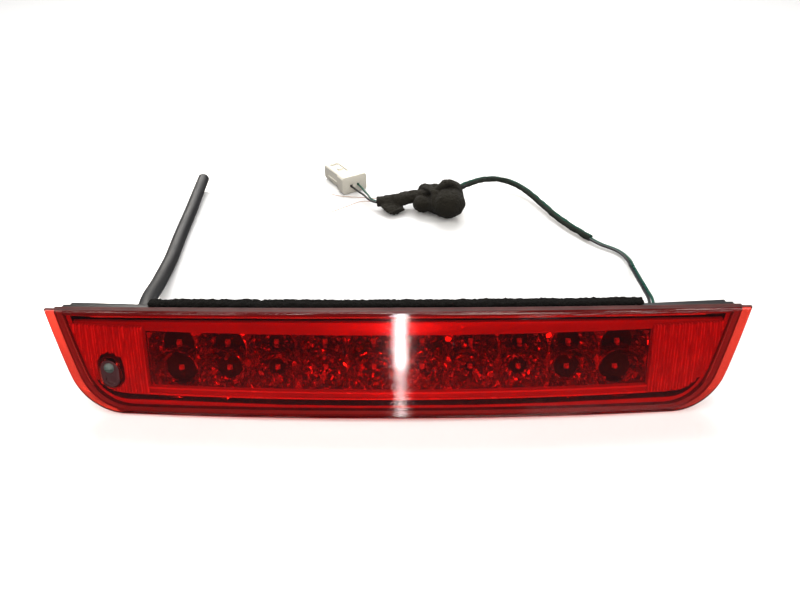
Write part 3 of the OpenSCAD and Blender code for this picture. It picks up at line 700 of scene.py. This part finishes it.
def extrudeRim(piece, spot):
    selectOnly(piece)
    bpy.ops.object.mode_set(mode="EDIT")
    bpy.ops.mesh.select_mode(type="EDGE")
    bpy.ops.mesh.select_all(action="DESELECT")
    bpy.ops.mesh.select_non_manifold(extend=False, use_wire=False, use_boundary=True, use_multi_face=False,
                                     use_non_contiguous=False, use_verts=False)
    bpy.ops.mesh.extrude_region_move(TRANSFORM_OT_translate={"value": (0, 0, 0)})
    bpy.ops.object.mode_set(mode="OBJECT")
    mesh = piece.data
    across, up = mesh.attributes["across"].data, mesh.attributes["up"].data
    for i, v in enumerate(mesh.vertices):
        if v.select:
            v.co = spot(across[i].value, up[i].value)


def buildLens():
    skin, foot, edgeRound = lensShape["skin"], lensShape["foot"], lensShape["round"]
    columns, rows, small = 170, 44, 0.0003
    lens = gridSheet("lens", columns, rows, lambda u, v: outlineSpot(u, v, insetOutline(lensEdge, edgeRound), 0))
    rims = []
    for k in range(1, 5):
        a = k * math.pi / 8
        rims.append((insetOutline(lensEdge, edgeRound * (1 - math.sin(a))), edgeRound * (1 - math.cos(a))))
    rims += [(lensEdge, skin - small), (insetOutline(lensEdge, small), skin), (insetOutline(footEdge, -small), skin),
             (footEdge, skin + small), (footEdge, foot - small), (insetOutline(footEdge, small), foot),
             (insetOutline(footInner, -small), foot), (footInner, foot - small), (footInner, skin + small),
             (insetOutline(footInner, small), skin)]
    for outline, depth in rims:
        extrudeRim(lens, lambda u, v, o=outline, d=depth: outlineSpot(u, v, o, d))
    back = gridSheet("lensBack", columns, rows,
                     lambda u, v: outlineSpot(u, v, insetOutline(footInner, small), skin))
    lens = joinPieces([lens, back], "redLens")
    tidyNormals(lens, 0.000008)
    return lens


nozzleSettings = {"x": -0.1403, "z": 0.0205, "reach": 0.0018, "hole": 0.005, "fluteHole": 0.0069, "cutDepth": 0.05}


def obroundRod(name, radius):  # an upright rounded slot through the front of the lamp, as a cutter
    clearSelection()
    bpy.ops.mesh.primitive_cylinder_add(vertices=64, radius=radius, depth=nozzleSettings["cutDepth"],
                                        rotation=(math.radians(90), 0, 0),
                                        location=(nozzleSettings["x"], frontY + 0.015, nozzleSettings["z"]))
    rod = bpy.context.object
    rod.name = name
    placeInMesh(rod)
    for v in rod.data.vertices:
        v.co.z += nozzleSettings["reach"] * (1 if v.co.z > nozzleSettings["z"] else -1)
    return rod


def cutAway(piece, cutter, operation="DIFFERENCE"):
    applyModifier(piece, "BOOLEAN", operation=operation, object=cutter, solver="EXACT")
    bpy.data.objects.remove(cutter)


lens = buildLens()
cutAway(lens, obroundRod("lensHole", nozzleSettings["hole"]))
smoothEdges(lens, 38)
finishPiece(lens, lensRed, replaces=["lens"])
lens.data.materials.append(lensFrosted)
lens.data.materials.append(lensWelded)
for face in lens.data.polygons:
    behind = face.center.y - onLayer(face.center.x, face.center.z, 0).y
    if face.normal.z > 0.6 and behind > 0.0007:  # the upper edge is unpolished
        face.material_index = 1
    elif behind > lensShape["skin"] + 0.0002:  # the foot is welded on
        face.material_index = 2


print("reflector")
reflectorSettings = {"columns": 10, "pitch": 0.0244, "middle": 0.0286, "rowPitch": 0.0135, "front": 0.0072,
                     "back": 0.0192, "cup": 0.01212, "cupDepth": 0.0150, "rim": 0.0005, "segments": 26, "rings": 20,
                     "wobble": 0.022, "lowMargin": 0.0004, "highMargin": 0.0014}
blockHalf = reflectorSettings["columns"] * reflectorSettings["pitch"] / 2
blockLow = reflectorSettings["middle"] - reflectorSettings["rowPitch"] - reflectorSettings["lowMargin"]
blockHigh = reflectorSettings["middle"] + reflectorSettings["rowPitch"] + reflectorSettings["highMargin"]


def raked(x, y, z):  # from the leaning frame of the optics to the lamp
    return Vector((x, frontY + y * math.cos(rake) + z * math.sin(rake), z * math.cos(rake) - y * math.sin(rake)))


def rakedFront(x, z, depth):
    y = depth
    for step in range(4):
        p = raked(x, y, z)
        y += (onLayer(x, p.z, depth).y - p.y) * math.cos(rake)
    return y


def cellX(i):
    return (i - (reflectorSettings["columns"] - 1) / 2) * reflectorSettings["pitch"]


def cellZ(row):
    return reflectorSettings["middle"] + (row - 0.5) * reflectorSettings["rowPitch"]


def buildReflectorBlock():
    def front(u, v):
        x, z = blockHalf * u, blockLow + (blockHigh - blockLow) * v
        return raked(x, rakedFront(x, z, reflectorSettings["front"]), z)

    def behind(u, v):
        return raked(blockHalf * u, reflectorSettings["back"], blockLow + (blockHigh - blockLow) * v)

    block = gridSheet("reflector", 60, 6, front)
    extrudeRim(block, behind)
    back = gridSheet("reflectorBack", 60, 6, behind)
    block = joinPieces([block, back], "reflector")
    tidyNormals(block, 0.000008)
    return block


def cupCutter(i, row, seed):
    x, z = cellX(i), cellZ(row)
    y = rakedFront(x, z, reflectorSettings["front"]) - 0.0016
    clearSelection()
    bpy.ops.mesh.primitive_uv_sphere_add(segments=reflectorSettings["segments"],
                                         ring_count=reflectorSettings["rings"], radius=1)
    cup = bpy.context.object
    lift = reflectorSettings["cup"] * 1.004
    for v in cup.data.vertices:
        v.co = Vector((v.co.x * lift, v.co.z * reflectorSettings["cupDepth"], v.co.y * lift))
    draw = random.Random(seed)
    for v in cup.data.vertices:
        wobble = 1 + draw.uniform(-1, 1) * reflectorSettings["wobble"]
        v.co = raked(x + v.co.x * wobble, y + v.co.y * wobble, z + v.co.z * wobble)
    tidyNormals(cup, 0.000002)
    return cup


def rimRod(i):
    x, z = cellX(i), cellZ(0)
    clearSelection()
    bpy.ops.mesh.primitive_cylinder_add(vertices=48, radius=1, depth=2)
    rod = bpy.context.object
    near = rakedFront(x, z, reflectorSettings["front"])
    radius = reflectorSettings["cup"] + reflectorSettings["rim"] * 0.1
    for v in rod.data.vertices:
        y = near + 0.0001 if v.co.z < 0 else reflectorSettings["back"] - 0.001
        v.co = raked(x + v.co.x * radius, y, z + v.co.y * (radius + reflectorSettings["rim"]))
    tidyNormals(rod, 0.000002)
    return rod


reflector = buildReflectorBlock()
columns = range(reflectorSettings["columns"])
cutAway(reflector, joinPieces([cupCutter(i, 1, i) for i in columns], "upperCups"))
cutAway(reflector, joinPieces([rimRod(i) for i in columns], "lowerRims"), "UNION")
cutAway(reflector, joinPieces([cupCutter(i, 0, i + 20) for i in columns], "lowerCups"))
smoothEdges(reflector, 8)
rimShare = reflector.data.attributes.new("rimShare", "FLOAT", "POINT")  # 0 in the middle of a cup, 1 at its rim
for i, v in enumerate(reflector.data.vertices):
    z = (v.co.y - frontY) * math.sin(rake) + v.co.z * math.cos(rake)
    rimShare.data[i].value = min(math.hypot(v.co.x - cellX(k), z - cellZ(row)) for k in columns for row in (0, 1)) \
        / reflectorSettings["cup"]
finishPiece(reflector, metallised, replaces=["reflector"])


print("flutes")
fluteSettings = {"pitch": 0.0031, "depth": 0.0014, "steps": 12, "low": 0.010, "high": 0.0415}


def buildFlutes(side, name):
    inner = blockHalf + 0.0006
    low, high = fluteSettings["low"], fluteSettings["high"]
    steps = [(inner, low), (inner + 0.016, low), (inner + 0.021, low + 0.002), (inner + 0.0255, low + 0.0055),
             (inner + 0.0285, low + 0.011), (lensShape["halfWidth"] - 0.0114, high)]
    outer = steps[-1][0]

    def lowest(x):
        for (xa, za), (xb, zb) in zip(steps, steps[1:]):
            if x <= xb:
                return za + (zb - za) * (x - xa) / (xb - xa)
        return high

    def place(u, v, flat=False):
        x = inner + (outer - inner) * (u / 2 + 0.5)
        wave = abs(math.sin(math.pi * (x - inner) / fluteSettings["pitch"]))
        z = lowest(x) + (high - lowest(x)) * v
        depth = lensShape["skin"] + 0.0004 + fluteSettings["depth"] * (1 - wave)
        return onLayer(side * x, z, lensShape["foot"] - 0.0001 if flat else depth)

    count = int((outer - inner) / fluteSettings["pitch"] * fluteSettings["steps"])
    plate = gridSheet(name, count, 20, place)
    extrudeRim(plate, lambda u, v: place(u, v, True))
    back = gridSheet(name + "Back", count, 20, lambda u, v: place(u, v, True))
    plate = joinPieces([plate, back], name)
    tidyNormals(plate, 0.000006)
    return plate


flutesLeft = buildFlutes(-1, "flutesLeft")
cutAway(flutesLeft, obroundRod("fluteHole", nozzleSettings["fluteHole"]))
flutesRight = buildFlutes(1, "flutesRight")
for piece, node in ((flutesLeft, "flutes_left"), (flutesRight, "flutes_right")):
    smoothEdges(piece, 45)
    finishPiece(piece, flutedMetal, replaces=[node])


print("bezel ridges")
ridgeSettings = {"radius": 0.00045, "depth": 0.0046, "steps": 81,
                 "lines": ((0.0478, 0.148, lensShape["crown"]), (0.0119, 0.1332, 0), (0.0088, 0.1332, 0))}
ridges = []
for height, half, crown in ridgeSettings["lines"]:
    xs = [half * (2 * k / (ridgeSettings["steps"] - 1) - 1) for k in range(ridgeSettings["steps"])]
    route = [onLayer(x, height - crown * (x / lensShape["halfWidth"]) ** 2, ridgeSettings["depth"]) for x in xs]
    ridges.append(sweptTube("ridge", route, 10, lambda s, a: ridgeSettings["radius"]))
bezelRidges = joinPieces(ridges, "bezelRidges")
smoothEdges(bezelRidges, 40)
# the ridges take the lighter copy of the bezel colour, a painted highlight
finishPiece(bezelRidges, bezelRidgeLit)


print("lamp body")
trayDepth = 0.0205
copies = [("housing", "housing", 0.00045, 2, housingBlack, "black_housing"),
          ("bezel", "innerBezel", 0.0004, 3, bezelDark, "inner_bezel"),
          ("weld_bead", "weldBead", 0.0001, 1, beadRed, "lens_adhesive"),
          ("circuit_board", "circuitBoard", 0.0001, 1, boardGreen, "board_laminate"),
          ("led_resistors", "boardResistors", 0.0001, 1, componentBlack, "component_black"),
          ("led_diode", "boardDiode", 0.0002, 1, componentBlack, "component_black"),
          ("board_screws", "boardScrews", 0.0001, 1, zincBright, "zinc_screw"),
          ("board_terminals", "boardTerminals", 0.0001, 1, tinnedBrass, "tinned_brass"),
          ("wire_grommet", "wireGrommet", 0.0004, 3, rubberBlack, "black_rubber"),
          ("vent_cap", "ventCap", 0.0004, 3, rubberBlack, "black_rubber"),
          ("nozzle_body", "nozzleBody", 0.00025, 2, nozzleDark, "nozzle_plastic"),
          ("nozzle_seal", "nozzleSeal", 0.0001, 1, rubberBlack, "black_rubber"),
          ("nozzle_nut", "nozzleNut", 0.0004, 2, plasticBlack, "black_plastic"),
          ("hose_clip", "hoseClip", 0.0001, 1, zincBright, "spring_steel")]
for node, name, bevel, segments, material, slot in copies:
    piece = coverNode(node, name, bevel, segments, material)
    if node == "housing":  # inside the lamp the tray's forward-facing faces get a lighter pinkish copy of the housing colour, painted light where they show through the lens
        piece.data.materials.append(housingLitFace)
        for face in piece.data.polygons:
            c = face.center
            low, high = spanAt(c.x, footEdge)
            behind = c.y - onLayer(c.x, c.z, 0).y
            if face.normal.y < -0.2 and low < c.z < high and behind < trayDepth:
                face.material_index = 1
coverNode("jet_ball", "jetBall", 0.00015, 2, jetGrey, "jet")
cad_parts["inner_leads"].data.materials.clear()
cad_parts["inner_leads"].data.materials.append(wireGreen)


def denseCopy(node, name, grain, push, size):  # foam: a fine-meshed copy with a rough skin
    piece = nodeCopy(node, name, 0.0004, 2)
    applyModifier(piece, "REMESH", mode="VOXEL", voxel_size=grain, use_smooth_shade=True)
    applyModifier(piece, "SMOOTH", factor=0.5, iterations=1)
    noisePush(piece, size, push, 4)
    return piece


for node, name in (("top_foam", "topFoam"), ("bottom_foam", "bottomFoam"), ("stud_foams", "studFoams")):
    piece = finishPiece(denseCopy(node, name, 0.0008, 0.0005, 0.0016), foamBlack, replaces=[node])


ledSettings = {"pad": 0.0024, "padThick": 0.0004, "chip": 0.0019, "chipNear": 0.0018, "chipFar": 0.0003,
               "dome": 0.0010}


def buildLed(i, row):
    pieces = []
    front = reflectorSettings["back"]
    for size, near, far in ((ledSettings["pad"], front - ledSettings["padThick"], front),
                            (ledSettings["chip"], front - ledSettings["chipNear"], front - ledSettings["chipFar"])):
        clearSelection()
        bpy.ops.mesh.primitive_cube_add(size=1)
        block = bpy.context.object
        for v in block.data.vertices:
            v.co = Vector((v.co.x * size, near + (far - near) * (v.co.y + 0.5), v.co.z * size))
        applyModifier(block, "BEVEL", width=0.0002, segments=2)
        pieces.append(block)
    clearSelection()
    bpy.ops.mesh.primitive_uv_sphere_add(segments=16, ring_count=10, radius=ledSettings["dome"],
                                         location=(0, front - ledSettings["chipNear"], 0))
    placeInMesh(bpy.context.object)
    pieces.append(bpy.context.object)
    led = joinPieces(pieces, "led")
    for v in led.data.vertices:
        v.co = raked(cellX(i) + v.co.x, v.co.y, cellZ(row) + v.co.z)
    return led


leds = joinPieces([buildLed(i, row) for i in columns for row in (0, 1)], "lightDiodes")
smoothEdges(leds, 40)
finishPiece(leds, ledResin, replaces=["leds"])

studSettings = {"x": 0.095, "z": 0.024, "start": 0.0454, "outer": 0.003, "pitch": 0.001, "thread": 0.0005,
                "sides": 36, "root": 0.0038, "tip": 0.001, "chamfer": 0.0009}


def buildStud(side):
    low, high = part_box("mounting_studs")
    start, end = frontY + studSettings["start"], high.y
    rings = int((end - start) / studSettings["pitch"] * 8)
    verts = []
    sides = studSettings["sides"]
    for i in range(rings + 1):
        y = start + (end - start) * i / rings
        tip = max(0.0, 1 - (end - y) / studSettings["tip"]) * studSettings["chamfer"]
        for k in range(sides):
            a = 2 * math.pi * k / sides
            wind = ((y - start) / studSettings["pitch"] + k / sides) % 1.0
            r = studSettings["outer"] - studSettings["thread"] * abs(2 * wind - 1) - tip
            verts.append((side * studSettings["x"] + r * math.cos(a), y, studSettings["z"] + r * math.sin(a)))
    thread = ringMesh("studThread", verts, sides, 0.000002)
    clearSelection()
    near, far = low.y, start + 0.0002
    bpy.ops.mesh.primitive_cylinder_add(vertices=48, radius=studSettings["root"], depth=far - near,
                                        rotation=(math.radians(90), 0, 0),
                                        location=(side * studSettings["x"], (near + far) / 2, studSettings["z"]))
    root = bpy.context.object
    placeInMesh(root)
    applyModifier(root, "BEVEL", width=0.0003, segments=2, limit_method="ANGLE", angle_limit=math.radians(50))
    return [thread, root]


studs = joinPieces(buildStud(-1) + buildStud(1), "mountingStuds")
smoothEdges(studs, 32)
finishPiece(studs, zincYellow, replaces=["mounting_studs"])


print("floor and light")
studio = {"floorSize": 6.0, "floor": (0.93, 0.93, 0.93), "room": (0.07, 0.075, 0.09), "seen": (1.1, 1.1, 1.1),
          "key": 4.5, "back": 58, "fill": 3, "strip": 3.6, "bar": 0.6, "spots": 9, "spotWatts": 1.6, "panes": 13}
clearSelection()
bpy.ops.mesh.primitive_plane_add(size=studio["floorSize"], location=(0, 0.6, -0.0006))
floor = bpy.context.object
floor.name = "studioFloor"
floorWhite, nodes, links, shader = newMaterial("floorWhite", studio["floor"], 0.09, 0.0, **{"Specular IOR Level": 0.8})
path = nodes.new("ShaderNodeLightPath")  # mirrored in the lamp, the floor is as dark as the room
floorTone = mixColors(nodes, links, path.outputs["Is Reflection Ray"], studio["floor"], studio["room"])
links.new(floorTone.outputs["Result"], shader.inputs["Base Color"])
floor.data.materials.append(floorWhite)

world = bpy.data.worlds.new("studioWorld")
bpy.context.scene.world = world
world.use_nodes = True
nodes, links = world.node_tree.nodes, world.node_tree.links
sky = nodes.new("ShaderNodeTexCoord").outputs["Generated"]
panes = texture(nodes, links, "Voronoi", sky, Scale=4.5)  # bright panes overhead, for the facets to mirror
paneTone = nodes.new("ShaderNodeSeparateColor")
links.new(panes.outputs["Color"], paneTone.inputs["Color"])
skyHeight = nodes.new("ShaderNodeSeparateXYZ")
links.new(sky, skyHeight.inputs["Vector"])
overhead = remap(nodes, links, skyHeight.outputs["Z"], (0.28, 0.34), (0, studio["panes"]))
paneLight = calculate(nodes, links, "POWER", paneTone.outputs["Red"], 14)
paneShare = calculate(nodes, links, "MULTIPLY", paneLight, overhead)
room = mixColors(nodes, links, paneShare, studio["room"], (1, 0.95, 0.88))
room.clamp_factor = False
path = nodes.new("ShaderNodeLightPath")
backdrop = mixColors(nodes, links, path.outputs["Is Camera Ray"], room.outputs["Result"], studio["seen"])
links.new(backdrop.outputs["Result"], nodes["Background"].inputs["Color"])


def areaLight(name, place, target, size, sizeY, watts, color=(1, 1, 1)):
    clearSelection()
    bpy.ops.object.light_add(type="AREA", location=place)
    light = bpy.context.object
    light.name = name
    light.data.shape = "RECTANGLE"
    light.data.size, light.data.size_y = size, sizeY
    light.data.energy = watts
    light.data.color = color
    light.rotation_euler = (Vector(target) - Vector(place)).to_track_quat("-Z", "Y").to_euler()
    return light


areaLight("keySoftbox", (-0.15, 0.02, 1.3), (0, 0.08, 0), 1.1, 0.8, studio["key"])
areaLight("backSoftbox", (0, 1.5, 1.7), (0, 1.3, 0), 2.0, 0.8, studio["back"])
areaLight("leftSoftbox", (-1.0, -0.1, 0.8), (0, 0.05, 0), 0.5, 0.5, studio["fill"], (1.0, 0.96, 0.9))
areaLight("rightSoftbox", (1.0, -0.5, 0.7), (0, 0.05, 0), 0.4, 0.5, studio["fill"] * 0.7, (0.92, 0.96, 1.0))
areaLight("stripLamp", (0.0, -1.35, 0.30), (0, 0, 0.30), 0.019, 0.6, studio["strip"])
areaLight("barLamp", (0.93, -1.35, 0.40), (0.1, 0, 0.05), 1.0, 0.03, studio["bar"])
for i in range(studio["spots"]):  # small ceiling lamps that make the facets sparkle
    turn = math.radians(200 + 140 * i / (studio["spots"] - 1))
    height = 0.75 + 0.55 * (i % 3)
    areaLight("ceilingSpot%d" % i, (1.5 * math.cos(turn), 1.5 * math.sin(turn), height), (0, 0, 0.02), 0.2, 0.2,
              studio["spotWatts"], (1.0, 0.97, 0.92))

bpy.context.scene.view_settings.view_transform = "Standard"
bpy.context.scene.view_settings.look = "None"
